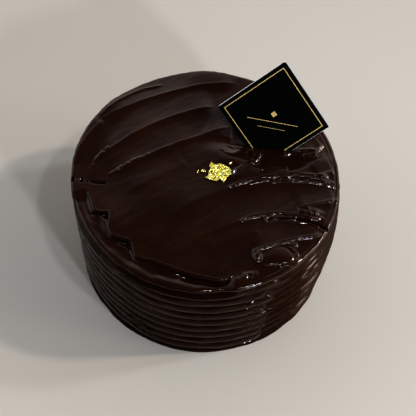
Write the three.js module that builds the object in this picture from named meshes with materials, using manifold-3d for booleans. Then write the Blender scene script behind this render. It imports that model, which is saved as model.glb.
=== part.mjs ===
// A round chocolate fudge cake with combed sides and a top swept with a spatula. A square card
// stands on one corner in the frosting, and torn gold leaf lies beside it.
// Millimetres, +Z up. The origin is the middle of the flat base, and the front faces -Y.
// Angles round the cake are in degrees from +X towards +Y, so the front is at -90.

import * as THREE from 'three';
import { mergeVertices } from 'three/addons/utils/BufferGeometryUtils.js';
import Module from 'manifold-3d';

const { degToRad, lerp, smoothstep } = THREE.MathUtils;

// Driving dimensions of the cake
const CAKE_RADIUS = 80; // at the crests of the combed ridges
const CAKE_HEIGHT = 78.5; // at the middle of the top

// Slow waves of the side: how many go round, how high they are, and the angle of one peak
const ROUND_WAVES = [
  { count: 2, size: 0.45, peak: 100 },
  { count: 5, size: 0.2, peak: -30 },
];

// The right side swells between the base and the rim, most above half height
const BULGE = { angle: -20, halfAngle: 38, size: 2.9, skew: 1.3 };

// Combed side: ridges one above the other, pressed in by a toothed comb
const RIDGE_COUNT = 9;
const RIDGE_PITCH = 8;
const GROOVE_DEPTH = 3.3;
const GROOVE_FLOOR = 0; // places in one pitch, as shares of it from one groove up to the next
const BAND_START = 0.14;
const BAND_END = 0.4;
const CREST = 0.5;
const SCALLOP_DEPTH = 0.75; // depth of a wide hollow as a share of a narrow groove's
const SCALLOP_WIDTH = 0.92;
const FOOT_RING_HEIGHT = 2;
const LIFT_START = 2; // the ridges keep level below and above these heights
const LIFT_FULL = 8;
const LIFT_FADE = 64;
const LIFT_END = 74;

// The comb was set down again at each of these angles, so the ridges step there. Scallop is 1
// where the comb left wide hollows between thin crests, and 0 where it left broad bands.
const COMB_SWEEPS = [
  { start: -62, blend: 2, lift: -2.2, depth: 1, scallop: 1 },
  { start: 96, blend: 4, lift: 1.4, depth: 0.9, scallop: 0.4 },
  { start: 196, blend: 6, lift: 2.6, depth: 0.85, scallop: 0 },
  { start: 236, blend: 14, lift: 0.2, depth: 1, scallop: 0 },
];
const SMEARED_PATCH = { angle: -110, height: 47, halfAngle: 7, halfHeight: 8, smear: 0.8 };

// Rim: a roll between the top and the last groove
const LAST_GROOVE_HEIGHT = 75.6;
const LAST_GROOVE_INSET = 1.3;
const LAST_GROOVE_DROP = 1.7; // how much lower the last groove is below the ledge
const LAST_GROOVE_RISE = 0.6; // share of the rim's rise that the last groove follows
const RIM_ROLL_HEIGHT = 1.3;
const RIM_RISES = [
  { angle: 92, halfAngle: 13, rise: 1.3 },
  { angle: 121, halfAngle: 8, rise: -0.4 },
  { angle: 150, halfAngle: 18, rise: 1.9 },
];
const RISE_INNER = 62;

// Top coat: it ends in a wavy lip at the front left, with a lower ledge outside it
const TOP_EDGE_RADIUS = 78.2;
const LIP_RING = 18; // the ring of the mesh that follows the lip
const TOP_RINGS = LIP_RING + 3; // then the foot of the lip, the lowest of the ledge, and the rim
const PLAIN_LIP_RADIUS = 70; // of that ring where there is no lip
const LIP_RADIUS = 69.3;
const LIP_FACE = 1; // how far out the foot of the lip lies
const LIP_FLARE = 4.7; // how far the lip runs out towards the rim at its right end
const LIP_FLARE_START = -98;
const LIP_NOTCHES = [
  { angle: -150.8, depth: 6.8, before: 2.2, after: 7 },
  { angle: -129.3, depth: 4.9, before: 6.5, after: 4.2 },
  { angle: -112, depth: 2.2, before: 6, after: 12 },
];
const LIP_HOLLOWS = [
  { angle: -151.2, halfAngle: 2.4, depth: 2.6 },
  { angle: -129.5, halfAngle: 4.2, depth: 2.2 },
  { angle: -96, halfAngle: 5, depth: 1.8 },
  { angle: -85, halfAngle: 3.5, depth: 1 },
];
const HOLLOW_OFFSET = 1.9;
const HOLLOW_REACH = 1.5;
const LEDGE_DEPTH = 1.1;
const LEDGE_FALL = 1.4; // further fall from the foot of the lip to the lowest of the ledge
const LEDGE_START = -168;
const LEDGE_END = -75;
const LEDGE_FADE = 6;
const LEDGE_FOOT_RADIUS = 72.6;
const LEDGE_RIM_RISE = 0.5;
const LEDGE_RIM_INSET = 1.7;

// Edges left by the spatula. Each is an arc from one point to another, bowed by its bulge to
// the left of its way. It rises to a crest over the length near on its right and fades on its
// left; its bead is a roll along the crest, and its crack runs along it.
const STROKES = [
  { from: [-66.7, 34.8], to: [19.2, 70.9], bulge: 8.3, height: 1, near: 4.5, bead: 0, crack: 0 },
  { from: [-66.4, 38.1], to: [-28.8, 67.2], bulge: 5.2, height: 0.35, near: 1.5, bead: 0.3, crack: 0 },
  { from: [-78, 2], to: [-64, 35.5], bulge: 3, height: 0.4, near: 2, bead: 0.2, crack: 0 },
  { from: [-66.1, 4.3], to: [5.6, 51], bulge: 7.7, height: 0.95, near: 4.5, bead: 0, crack: 0 },
  { from: [-57.4, -5], to: [14.9, 35.5], bulge: 3.1, height: 0.8, near: 4, bead: 0.2, crack: 0 },
  { from: [-46.8, -18], to: [-10.8, 7.5], bulge: 0.5, height: 0.25, near: 3, bead: 0, crack: 0 },
  { from: [-4, 31], to: [16, 27], bulge: -1, height: 0.4, near: 2, bead: 0, crack: 0 },
  { from: [-25.3, -38.6], to: [79.5, -7.4], bulge: 15.4, height: 0.45, near: 5, bead: 0, crack: 0 },
  { from: [12.5, -11.8], to: [77, -5.2], bulge: 6.3, height: 0.2, near: 1.5, bead: 1, crack: 0 },
  { from: [38, -6.2], to: [77, -8.2], bulge: 2.4, height: 0, near: 1.5, bead: 0.9, crack: 0 },
  { from: [66, -1.5], to: [76.5, 3.5], bulge: 0.4, height: 0.5, near: 2, bead: 0.5, crack: 0 },
  { from: [-16.1, -61.6], to: [77.9, -36.9], bulge: 17.6, height: 0.5, near: 5, bead: 0, crack: 0 },
  { from: [20, -34.4], to: [67, -31.8], bulge: 4.7, height: 0.2, near: 1.5, bead: 1, crack: 0 },
  { from: [35, -32.9], to: [71.5, -38.6], bulge: 4, height: 0, near: 1.5, bead: 0, crack: 2.4 },
  { from: [53.5, -25], to: [77, -16.8], bulge: 0.4, height: 0.5, near: 2.5, bead: 0.8, crack: 0 },
  { from: [54, -25.5], to: [68.5, -31], bulge: 0.6, height: 0, near: 1.5, bead: 0.9, crack: 0 },
  { from: [-0.2, -57.6], to: [33.3, -40.2], bulge: 2.8, height: 0.2, near: 4, bead: 0, crack: 0 },
  { from: [27, -54.2], to: [67, -41.2], bulge: 1, height: 0.5, near: 3, bead: 0.8, crack: 0 },
  { from: [14.5, -1.2], to: [28.8, 7.4], bulge: 0.6, height: 0.4, near: 1.5, bead: 0.7, crack: 0 },
  { from: [28.6, 7.2], to: [33.6, 20.5], bulge: -1.2, height: 0.5, near: 2, bead: 0.9, crack: 0 },
  { from: [52, 18.6], to: [66.5, 18.6], bulge: 0.8, height: 0.3, near: 1.5, bead: 0.8, crack: 0 },
];
const CREST_ROUND = 0.5; // half the width of a crest's rounding
const STROKE_REACH = 11;
const STROKE_TAPER = 0.22; // share of the arc in which its start fades; half as much at its end
const BEAD_START = 0.05; // share of the arc in which a bead or a crack grows to its full size
const BEAD_HALF_WIDTH = 1.4;

// Petal of frosting by the front right rim, with a crease at its open side and a roll outside
const DAB = {
  at: [41.5, -56.3], turn: 10, halfLength: 9.6, halfWidth: 5.6, crown: 0.7, roll: 0.5,
  rollReach: 1.17, rollWidth: 0.2, openSide: -40,
};

// Lumps: left of the card and at its foot, by the petal, and a facet between two strokes
const LUMP_FLATNESS = 3; // 2 is a bell, and more has a flatter top and steeper sides
const LUMPS = [
  { at: [21.5, 12], halfLength: 9.5, halfWidth: 6, turn: 15, height: 1.1 },
  { at: [30.3, 16.4], halfLength: 2.6, halfWidth: 3.4, turn: 0, height: 0.9 },
  { at: [48.6, 16.4], halfLength: 3, halfWidth: 1.5, turn: 25, height: 0.9 },
  { at: [62.5, -26.3], halfLength: 5, halfWidth: 2.2, turn: -14, height: 1.1 },
  { at: [30.3, -57], halfLength: 2.2, halfWidth: 3.2, turn: 20, height: 1.6 },
  { at: [24, -70], halfLength: 6.5, halfWidth: 2.4, turn: 20, height: 0.5 },
];

// The frosting sinks towards the card's foot, and swells a little in front of the hollow
const CARD_DIP = {
  halfLength: 11, reach: 19, depth: 2.4, rounding: 0.08, swell: 0.9, swellWidth: 0.5, swellStart: 10,
};

// Crack in the top coat at the left rim
const CRACK = { from: [-79, -8.6], to: [-57.5, -10.6], halfWidth: 1, depth: 2, fade: 0.9 };

// Long and short waves of the top, as turns per millimetre of x and y
const LONG_WAVE = { size: 0.2, x: 0.055, y: -0.09, shift: 0.8 };
const SHORT_WAVES = [{ x: 0.13, y: 0.05, shift: 0 }, { x: -0.04, y: 0.11, shift: 1.3 }];
const SHORT_WAVE_SIZE = 0.12;

// Small unevenness of the side: waves per turn round the cake and per millimetre up it
const COARSE_WAVES = [{ round: 11, up: 0.13 }, { round: 3, up: 0.31 }];
const COARSE_WAVE_SIZE = 0.16;
const FINE_WAVE = { round: 29, up: -0.22, size: 0.08 };

// Card: a square plate on one corner, leaning back and turned and rolled a little
const CARD_SIDE = 48;
const CARD_THICKNESS = 1.3;
const CARD_CORNER_RADIUS = 0.8;
const CARD_CORNER_SEGMENTS = 3;
const CARD_ENTRY = [38.7, 21.6]; // where its middle line passes into the frosting
const CARD_ENTRY_HEIGHT = 77.4;
const CARD_BURIED = 15; // length of its diagonal below the frosting
const CARD_MIDDLE = CARD_SIDE / Math.SQRT2 - CARD_BURIED; // from its entry up to its middle
const CARD_LEAN = 35.1; // from upright
const CARD_TURN = -3.9;
const CARD_ROLL = -5.5; // in its own plane, round its middle
const SLOT_GAP = 0.3;

// Gold leaf: a torn flake and three small flecks
const LEAF_THICKNESS = 0.3;
const LEAF_GAP = 0.45;
const LEAF_CRINKLE = 0.5;
const LEAF_CRINKLE_PITCH = 4.2;
const LEAF_MIDDLE_RING = 0.5; // where the flake's inner points lie between its middle and its edge
const LEAF_OUTLINE = [
  [3.5, 6.7], [5.6, 4.6], [8.2, 5.7], [10.9, 4.4], [14.8, 1.3], [15.3, -1.9], [12.6, -4.2],
  [10.7, -7.9], [8.8, -5.6], [6.5, -7.4], [2.8, -6.3], [-0.4, -4.9], [1.8, -2.9], [1.3, -0.8],
  [2.9, 1.2], [1.9, 3.9],
];
const FLECKS = [
  { at: [-1.5, 0.1], length: 3.4, width: 2.4, turn: 10 },
  { at: [-4.7, -0.6], length: 3, width: 1, turn: 80 },
  { at: [14.6, 5.2], length: 2.2, width: 1.5, turn: 60 },
];
const FLECK_CORNERS = 7;
const FLECK_REACHES = [0.5, 0.38]; // of its corners in turn, as shares of its length and width

const COLOURS = {
  chocolate: new THREE.Color(0x20110b),
  card: new THREE.Color(0x0c0f0e),
  gold: new THREE.Color(0xe0b640),
};

// ---- Shared shapes

// Brings an angle into -180 to 180
function wrapped(angle) {
  return ((((angle + 180) % 360) + 360) % 360) - 180;
}

// 1 at 0, falling to nothing in about twice the width
function hump(distance, width) {
  return Math.exp(-((distance / width) ** 2));
}

function sumOf(list, value) {
  return list.reduce((sum, item) => sum + value(item), 0);
}

// ---- Unevenness of the side and the top, as sums of waves

function sideWander(angle) {
  return sumOf(ROUND_WAVES, (wave) => wave.size * Math.cos(degToRad(wave.count * (angle - wave.peak))));
}

function sideBulge(angle, height) {
  const up = Math.min(Math.max(height / CAKE_HEIGHT, 0), 1) ** BULGE.skew;
  return BULGE.size * hump(wrapped(angle - BULGE.angle), BULGE.halfAngle) * Math.sin(Math.PI * up);
}

function sideRoughness(angle, height) {
  const waveOf = ({ round, up }) => Math.sin(round * degToRad(angle) + up * height);
  const coarse = COARSE_WAVES.reduce((product, wave) => product * waveOf(wave), COARSE_WAVE_SIZE);
  return coarse + FINE_WAVE.size * waveOf(FINE_WAVE);
}

function topWaviness(x, y) {
  const waveOf = (wave) => Math.sin(wave.x * x + wave.y * y + wave.shift);
  const short = SHORT_WAVES.reduce((product, wave) => product * waveOf(wave), SHORT_WAVE_SIZE);
  return LONG_WAVE.size * waveOf(LONG_WAVE) + short;
}

// How far the rim stands above the middle of the top
function rimRise(angle) {
  return sumOf(RIM_RISES, (rise) => rise.rise * hump(wrapped(angle - rise.angle), rise.halfAngle));
}

// ---- Combed side

// Blends the sweeps' values of one key at an angle
function sweepValue(angle, key) {
  const first = COMB_SWEEPS[0].start;
  const turned = (angle - first + 720) % 360;
  return COMB_SWEEPS.reduce((value, sweep) => {
    const start = (sweep.start - first + 720) % 360;
    return lerp(value, sweep[key], smoothstep(turned - start, 0, sweep.blend));
  }, COMB_SWEEPS[COMB_SWEEPS.length - 1][key]);
}

// Share of the groove's depth at a place in the pitch: 0 is a groove and 0.5 a crest
function ridgeInset(place, scallop) {
  const under = 1 - smoothstep(place, GROOVE_FLOOR, BAND_START);
  const above = Math.max(place - BAND_END, 0) / (1 - BAND_END);
  const band = place < BAND_START ? under : above * above;
  const fromGroove = 2 * Math.min(place, 1 - place);
  const hollow = SCALLOP_DEPTH * Math.max(1 - (fromGroove / SCALLOP_WIDTH) ** 2, 0);
  return lerp(band, hollow, scallop);
}

// The rings of the side from the base up to the last ridge's crest, with their place in a pitch
function sideRings() {
  const rings = [{ height: 0, place: CREST }, { height: FOOT_RING_HEIGHT, place: CREST }];
  for (let ridge = 0; ridge < RIDGE_COUNT; ridge += 1) {
    [GROOVE_FLOOR, BAND_START, CREST].forEach((place) => {
      rings.push({ height: (ridge + CREST + place) * RIDGE_PITCH, place });
    });
  }
  return rings;
}

function sidePoint(ring, angle) {
  const level = smoothstep(ring.height, LIFT_START, LIFT_FULL);
  const lift = sweepValue(angle, 'lift') * level * (1 - smoothstep(ring.height, LIFT_FADE, LIFT_END));
  const height = ring.height + lift;
  const patch = SMEARED_PATCH;
  const smeared = patch.smear * hump(wrapped(angle - patch.angle), patch.halfAngle)
    * hump(height - patch.height, patch.halfHeight);
  const depth = GROOVE_DEPTH * sweepValue(angle, 'depth') * (1 - smeared);
  const inset = depth * ridgeInset(ring.place, sweepValue(angle, 'scallop'));
  const rough = ring.height > 0 ? sideRoughness(angle, height) : 0;
  const radius = CAKE_RADIUS + sideWander(angle) + sideBulge(angle, height) + rough - inset;
  return [radius * Math.cos(degToRad(angle)), radius * Math.sin(degToRad(angle)), height];
}

// The groove under the rim
function lastGroovePoint(angle) {
  const ledge = ledgeShare(angle);
  const height = LAST_GROOVE_HEIGHT - LAST_GROOVE_DROP * ledge + LAST_GROOVE_RISE * rimRise(angle);
  const radius = CAKE_RADIUS - LAST_GROOVE_INSET - LEDGE_RIM_INSET * ledge
    + sideWander(angle) + sideBulge(angle, LAST_GROOVE_HEIGHT);
  return [radius * Math.cos(degToRad(angle)), radius * Math.sin(degToRad(angle)), height];
}

// The outermost of the rim's roll
function rimPoint(angle) {
  const edge = topRingRadius(TOP_RINGS, angle);
  const edgeHeight = topHeight(edge * Math.cos(degToRad(angle)), edge * Math.sin(degToRad(angle)));
  const height = edgeHeight - RIM_ROLL_HEIGHT;
  const radius = CAKE_RADIUS + sideWander(angle) + sideBulge(angle, height)
    - LEDGE_RIM_INSET * ledgeShare(angle);
  return [radius * Math.cos(degToRad(angle)), radius * Math.sin(degToRad(angle)), height];
}

// ---- Top coat

// 1 where the top coat stops short of the rim, 0 where it reaches the rim
function ledgeShare(angle) {
  const a = wrapped(angle);
  return smoothstep(a, LEDGE_START, LEDGE_START + LEDGE_FADE)
    * (1 - smoothstep(a, LEDGE_END - LEDGE_FADE, LEDGE_END));
}

function lipRadius(angle) {
  const a = wrapped(angle);
  const flare = LIP_FLARE * smoothstep(a, LIP_FLARE_START, LEDGE_END);
  const notches = sumOf(LIP_NOTCHES, (notch) => {
    const width = a < notch.angle ? notch.before : notch.after;
    return notch.depth * hump(a - notch.angle, width);
  });
  return lerp(PLAIN_LIP_RADIUS, LIP_RADIUS + flare - notches, ledgeShare(angle));
}

// Radius of the lowest of the ledge
function ledgeFoot(lip) {
  return Math.max(LEDGE_FOOT_RADIUS, lip + LIP_FACE);
}

// Depth of the hollows under the lip, at a distance beyond it
function hollowDepth(angle, beyond) {
  const depth = sumOf(LIP_HOLLOWS, (hollow) => (
    hollow.depth * hump(wrapped(angle - hollow.angle), hollow.halfAngle)
  ));
  return depth * hump(beyond - HOLLOW_OFFSET, HOLLOW_REACH);
}

// Circle, length and side of a stroke's arc
function arcOf(stroke) {
  const [fromX, fromY] = stroke.from;
  const [toX, toY] = stroke.to;
  const chord = Math.hypot(toX - fromX, toY - fromY);
  const along = [(toX - fromX) / chord, (toY - fromY) / chord];
  const left = [-along[1], along[0]];
  const radius = (chord * chord / 4 + stroke.bulge * stroke.bulge) / (2 * stroke.bulge);
  const middle = [(fromX + toX) / 2, (fromY + toY) / 2];
  const centre = middle.map((value, i) => value + left[i] * (stroke.bulge - radius));
  const halfTurn = Math.asin(chord / 2 / Math.abs(radius));
  return { along, left, radius, centre, halfTurn };
}

const ARCS = STROKES.map((stroke) => ({ ...stroke, ...arcOf(stroke) }));

// Height that one stroke adds at a point
function strokeHeight(arc, x, y) {
  const dx = x - arc.centre[0];
  const dy = y - arc.centre[1];
  const sign = Math.sign(arc.radius);
  const outward = sign * (arc.left[0] * dx + arc.left[1] * dy);
  const sideways = arc.along[0] * dx + arc.along[1] * dy;
  const place = Math.atan2(sideways, outward) / arc.halfTurn;
  if (Math.abs(place) > 1) return 0;
  const distance = sign * (Math.hypot(dx, dy) - Math.abs(arc.radius));
  const progress = (place + 1) / 2;
  const taper = smoothstep(progress, 0, STROKE_TAPER) * smoothstep(1 - progress, 0, STROKE_TAPER / 2);
  const away = Math.hypot(distance, CREST_ROUND) - CREST_ROUND;
  const crest = arc.height * Math.exp(-away / (distance < 0 ? arc.near : STROKE_REACH));
  const started = smoothstep(progress, 0, BEAD_START) * smoothstep(1 - progress, 0, BEAD_START);
  return taper * crest + started * (arc.bead - arc.crack) * hump(distance, BEAD_HALF_WIDTH);
}

// Place in an oval's own directions, in units of its half sizes
function ovalPlace(oval, x, y) {
  const turn = degToRad(oval.turn);
  const dx = x - oval.at[0];
  const dy = y - oval.at[1];
  return [
    (dx * Math.cos(turn) + dy * Math.sin(turn)) / oval.halfLength,
    (dy * Math.cos(turn) - dx * Math.sin(turn)) / oval.halfWidth,
  ];
}

function dabHeight(x, y) {
  const [u, v] = ovalPlace(DAB, x, y);
  const reach = Math.hypot(u, v);
  const open = Math.max(Math.cos(Math.atan2(v, u) - degToRad(DAB.openSide)), 0);
  return DAB.crown * Math.max(1 - reach * reach, 0)
    + DAB.roll * open * hump(reach - DAB.rollReach, DAB.rollWidth);
}

function lumpHeight(x, y) {
  return sumOf(LUMPS, (lump) => {
    const reach = Math.hypot(...ovalPlace(lump, x, y));
    return lump.height * Math.exp(-(reach ** LUMP_FLATNESS));
  });
}

function dipHeight(x, y) {
  const turn = degToRad(CARD_TURN);
  const dx = x - CARD_ENTRY[0];
  const dy = y - CARD_ENTRY[1];
  const along = dx * Math.cos(turn) + dy * Math.sin(turn);
  const across = dy * Math.cos(turn) - dx * Math.sin(turn);
  const beside = Math.max(Math.abs(along) - CARD_DIP.halfLength, 0);
  const away = Math.hypot(beside, across) / CARD_DIP.reach;
  const swell = CARD_DIP.swell * hump(away - 1, CARD_DIP.swellWidth)
    * smoothstep(-across, 0, CARD_DIP.swellStart);
  return swell - CARD_DIP.depth * Math.max(1 - Math.hypot(away, CARD_DIP.rounding), 0);
}

function crackHeight(x, y) {
  const share = (x - CRACK.from[0]) / (CRACK.to[0] - CRACK.from[0]);
  const middle = lerp(CRACK.from[1], CRACK.to[1], share);
  return -CRACK.depth * (1 - smoothstep(share, CRACK.fade, 1)) * hump(y - middle, CRACK.halfWidth);
}

// Height of the top at a point inside the rim
function topHeight(x, y) {
  const radius = Math.hypot(x, y);
  const angle = THREE.MathUtils.radToDeg(Math.atan2(y, x));
  const ledge = ledgeShare(angle);
  const lip = lipRadius(angle);
  const past = ledge * smoothstep(radius, lip, lip + LIP_FACE);
  const relief = sumOf(ARCS, (arc) => strokeHeight(arc, x, y)) + topWaviness(x, y)
    + dabHeight(x, y) + lumpHeight(x, y) + dipHeight(x, y) + crackHeight(x, y);
  const rise = rimRise(angle) * smoothstep(radius, RISE_INNER, TOP_EDGE_RADIUS);
  const fall = LEDGE_FALL * smoothstep(radius, lip, ledgeFoot(lip))
    - LEDGE_RIM_RISE * smoothstep(radius, ledgeFoot(lip), TOP_EDGE_RADIUS - LEDGE_RIM_INSET);
  const lowered = past * (LEDGE_DEPTH + hollowDepth(angle, radius - lip)) + ledge * fall;
  return CAKE_HEIGHT + (relief + rise) * (1 - past) - lowered;
}

// Radius of a ring of the top: up to the lip the rings follow it, and then come the foot of
// the lip, the lowest of the ledge and the rim
function topRingRadius(ring, angle) {
  const lip = lipRadius(angle);
  const ledge = ledgeShare(angle);
  if (ring <= LIP_RING) return (lip * ring) / LIP_RING;
  const edge = TOP_EDGE_RADIUS - LEDGE_RIM_INSET * ledge + sideWander(angle);
  if (ring === TOP_RINGS) return edge;
  const plain = lerp(lip, edge, (ring - LIP_RING) / (TOP_RINGS - LIP_RING));
  const place = ring === LIP_RING + 1 ? lip + LIP_FACE : ledgeFoot(lip) + LIP_FACE / 2;
  return lerp(plain, place, ledge);
}

// ---- Meshes

function meshGeometry(vertices, triangles) {
  const geometry = new THREE.BufferGeometry();
  geometry.setAttribute('position', new THREE.Float32BufferAttribute(vertices.flat(), 3));
  geometry.setIndex(triangles.flat());
  geometry.computeVertexNormals();
  return geometry;
}

// Each ring outwards has one more vertex in each sector, so the triangles are alike in size
const SECTORS = 6;
const SIDE_STEPS = SECTORS * TOP_RINGS;

function cakeGeometry() {
  const vertices = [[0, 0, topHeight(0, 0)]];
  const triangles = [];
  const firstOf = [0];
  for (let ring = 1; ring <= TOP_RINGS; ring += 1) {
    firstOf.push(vertices.length);
    for (let step = 0; step < SECTORS * ring; step += 1) {
      const angle = (360 * step) / (SECTORS * ring);
      const radius = topRingRadius(ring, angle);
      const x = radius * Math.cos(degToRad(angle));
      const y = radius * Math.sin(degToRad(angle));
      vertices.push([x, y, topHeight(x, y)]);
    }
  }
  const topVertex = (ring, step) => (ring === 0 ? 0 : firstOf[ring] + (step % (SECTORS * ring)));
  for (let ring = 1; ring <= TOP_RINGS; ring += 1) {
    for (let sector = 0; sector < SECTORS; sector += 1) {
      for (let i = 0; i < ring; i += 1) {
        const outer = sector * ring + i;
        const inner = sector * (ring - 1) + i;
        triangles.push([topVertex(ring, outer), topVertex(ring, outer + 1), topVertex(ring - 1, inner)]);
        if (i < ring - 1) {
          triangles.push([
            topVertex(ring - 1, inner),
            topVertex(ring, outer + 1),
            topVertex(ring - 1, inner + 1),
          ]);
        }
      }
    }
  }
  let above = firstOf[TOP_RINGS];
  const ridgeRows = sideRings().reverse().map((ring) => (angle) => sidePoint(ring, angle));
  [rimPoint, lastGroovePoint, ...ridgeRows].forEach((pointAt) => {
    const below = vertices.length;
    for (let step = 0; step < SIDE_STEPS; step += 1) {
      vertices.push(pointAt((360 * step) / SIDE_STEPS));
    }
    for (let step = 0; step < SIDE_STEPS; step += 1) {
      const next = (step + 1) % SIDE_STEPS;
      triangles.push([above + step, below + step, below + next]);
      triangles.push([above + step, below + next, above + next]);
    }
    above = below;
  });
  const centre = vertices.push([0, 0, 0]) - 1;
  for (let step = 0; step < SIDE_STEPS; step += 1) {
    triangles.push([centre, above + ((step + 1) % SIDE_STEPS), above + step]);
  }
  return meshGeometry(vertices, triangles);
}

// Square plate on one corner round its middle, larger by a margin all round
function cardGeometry(margin) {
  const half = CARD_SIDE / 2 + margin;
  const corner = CARD_CORNER_RADIUS;
  const outline = new THREE.Shape();
  outline.moveTo(corner - half, -half);
  [[1, -1], [1, 1], [-1, 1], [-1, -1]].forEach(([sideX, sideY]) => {
    const centreX = sideX * (half - corner);
    const centreY = sideY * (half - corner);
    const start = Math.atan2(sideY, sideX) - Math.PI / 4;
    outline.absarc(centreX, centreY, corner, start, start + Math.PI / 2, false);
  });
  const depth = CARD_THICKNESS + 2 * margin;
  const plate = new THREE.ExtrudeGeometry(outline, {
    depth,
    bevelEnabled: false,
    curveSegments: CARD_CORNER_SEGMENTS,
  });
  plate.translate(0, 0, -depth / 2);
  plate.rotateZ(Math.PI / 4);
  return plate;
}

// A wavy flake: the same triangles on its upper and lower face, and a band round its edge.
// The outline runs clockwise.
function flakeGeometry(outline) {
  const sum = outline.reduce((total, point) => [total[0] + point[0], total[1] + point[1]], [0, 0]);
  const centre = sum.map((value) => value / outline.length);
  const middle = outline.map((point) => point.map((value, i) => lerp(centre[i], value, LEAF_MIDDLE_RING)));
  const flat = [centre, ...middle, ...outline];
  const count = outline.length;
  const height = ([x, y]) => {
    const wave = Math.sin((2 * Math.PI * (x + y)) / LEAF_CRINKLE_PITCH);
    return topHeight(x, y) + LEAF_GAP + LEAF_CRINKLE * (1 + wave) / 2;
  };
  const lower = flat.map((point) => [...point, height(point)]);
  const upper = flat.map((point) => [...point, height(point) + LEAF_THICKNESS]);
  const face = [];
  for (let i = 0; i < count; i += 1) {
    const next = (i + 1) % count;
    face.push([0, 1 + i, 1 + next]);
    face.push([1 + i, 1 + count + i, 1 + count + next]);
    face.push([1 + i, 1 + count + next, 1 + next]);
  }
  const triangles = [...face, ...face.map(([a, b, c]) => [a, c, b].map((v) => v + flat.length))];
  for (let i = 0; i < count; i += 1) {
    const a = 1 + count + i;
    const b = 1 + count + ((i + 1) % count);
    triangles.push([a, a + flat.length, b + flat.length]);
    triangles.push([a, b + flat.length, b]);
  }
  return meshGeometry([...lower, ...upper], triangles);
}

function fleckOutline({ at, length, width, turn }) {
  return Array.from({ length: FLECK_CORNERS }, (_, corner) => {
    const angle = (-2 * Math.PI * corner) / FLECK_CORNERS;
    const reach = FLECK_REACHES[corner % FLECK_REACHES.length];
    const point = new THREE.Vector2(length * reach * Math.cos(angle), width * reach * Math.sin(angle));
    point.rotateAround(new THREE.Vector2(), degToRad(turn));
    return [at[0] + point.x, at[1] + point.y];
  });
}

// ---- Boolean cut

function toSolid(wasm, geometry) {
  const bare = geometry.clone();
  bare.deleteAttribute('normal');
  bare.deleteAttribute('uv');
  const merged = mergeVertices(bare);
  return new wasm.Manifold(new wasm.Mesh({
    numProp: 3,
    vertProperties: new Float32Array(merged.attributes.position.array),
    triVerts: new Uint32Array(merged.index.array),
  }));
}

function fromSolid(solid) {
  const { vertProperties, triVerts } = solid.getMesh();
  const geometry = new THREE.BufferGeometry();
  geometry.setAttribute('position', new THREE.Float32BufferAttribute(vertProperties, 3));
  geometry.setIndex([...triVerts]);
  geometry.computeVertexNormals();
  return geometry;
}

function piece(name, geometry, material) {
  const mesh = new THREE.Mesh(geometry, material);
  mesh.name = name;
  return mesh;
}

// ---- The cake

const wasm = await Module();
wasm.setup();

const frosting = new THREE.MeshStandardMaterial({ color: COLOURS.chocolate, roughness: 0.22 });
const cardStock = new THREE.MeshStandardMaterial({ color: COLOURS.card, roughness: 0.3 });
const goldLeaf = new THREE.MeshStandardMaterial({
  color: COLOURS.gold,
  roughness: 0.3,
  metalness: 1,
});

const turned = new THREE.Group();
turned.position.set(...CARD_ENTRY, CARD_ENTRY_HEIGHT);
turned.rotation.z = degToRad(CARD_TURN);
const leaning = new THREE.Group();
leaning.rotation.x = degToRad(90 - CARD_LEAN);
const card = piece('topper_card', cardGeometry(0), cardStock);
card.position.y = CARD_MIDDLE;
card.rotation.z = degToRad(CARD_ROLL);
turned.add(leaning);
leaning.add(card);
turned.updateMatrixWorld(true);

const slot = cardGeometry(SLOT_GAP).applyMatrix4(card.matrixWorld);
const cutCake = toSolid(wasm, cakeGeometry()).subtract(toSolid(wasm, slot));

const group = new THREE.Group();
group.add(piece('cake', fromSolid(cutCake), frosting));
group.add(turned);
group.add(piece('gold_leaf', flakeGeometry(LEAF_OUTLINE), goldLeaf));
FLECKS.forEach((fleck, index) => {
  group.add(piece(`gold_fleck_${index + 1}`, flakeGeometry(fleckOutline(fleck)), goldLeaf.clone()));
});

export default group;
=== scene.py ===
"""A round chocolate fudge cake: combed sides, a spatula-swept glossy top, a card and gold leaf.

Shapes are worked out in millimetres and angles in degrees, and become metres in make_mesh().
The origin is the middle of the base, +Z is up and the front faces -Y. Angles round the cake
run from +X towards +Y, so the front is at -90.
"""
import math

import bpy
import numpy as np
from mathutils import Matrix, Vector
from mathutils.geometry import delaunay_2d_cdt


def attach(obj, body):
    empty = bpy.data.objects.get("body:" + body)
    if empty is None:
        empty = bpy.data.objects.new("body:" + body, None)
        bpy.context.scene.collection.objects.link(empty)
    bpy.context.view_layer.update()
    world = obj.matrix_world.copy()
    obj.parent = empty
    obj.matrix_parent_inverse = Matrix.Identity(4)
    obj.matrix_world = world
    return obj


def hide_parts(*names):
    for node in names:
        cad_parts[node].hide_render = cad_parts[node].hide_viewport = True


MM = 0.001

# ---- Sizes of the cake

CAKE_RADIUS = 80.0
CAKE_HEIGHT = 78.5

# Slow waves of the side: how many go round, how high they are, and the angle of one peak
ROUND_WAVES = (
    {"count": 2, "size": 0.45, "peak": 100},
    {"count": 5, "size": 0.2, "peak": -30},
)

# The right side swells between the base and the rim
BULGE = {"angle": -20, "half_angle": 38, "size": 2.9, "skew": 1.3}

# Combed side. Places in one pitch are shares of it, from one groove up to the next. A wide hollow
# has a share of a narrow groove's depth.
RIDGE_PITCH = 8.0
GROOVE_DEPTH = 3.3
GROOVE_MEAN = 0.9  # mean share of that depth along a groove
GROOVE_FULL_HEIGHT = 3  # the grooves begin at the base and are deep from here up
BAND_START = 0.14
BAND_END = 0.398
SCALLOP = {"depth": 0.75, "width": 0.92, "curve": 2.2, "flatness": 0.7}

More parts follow.
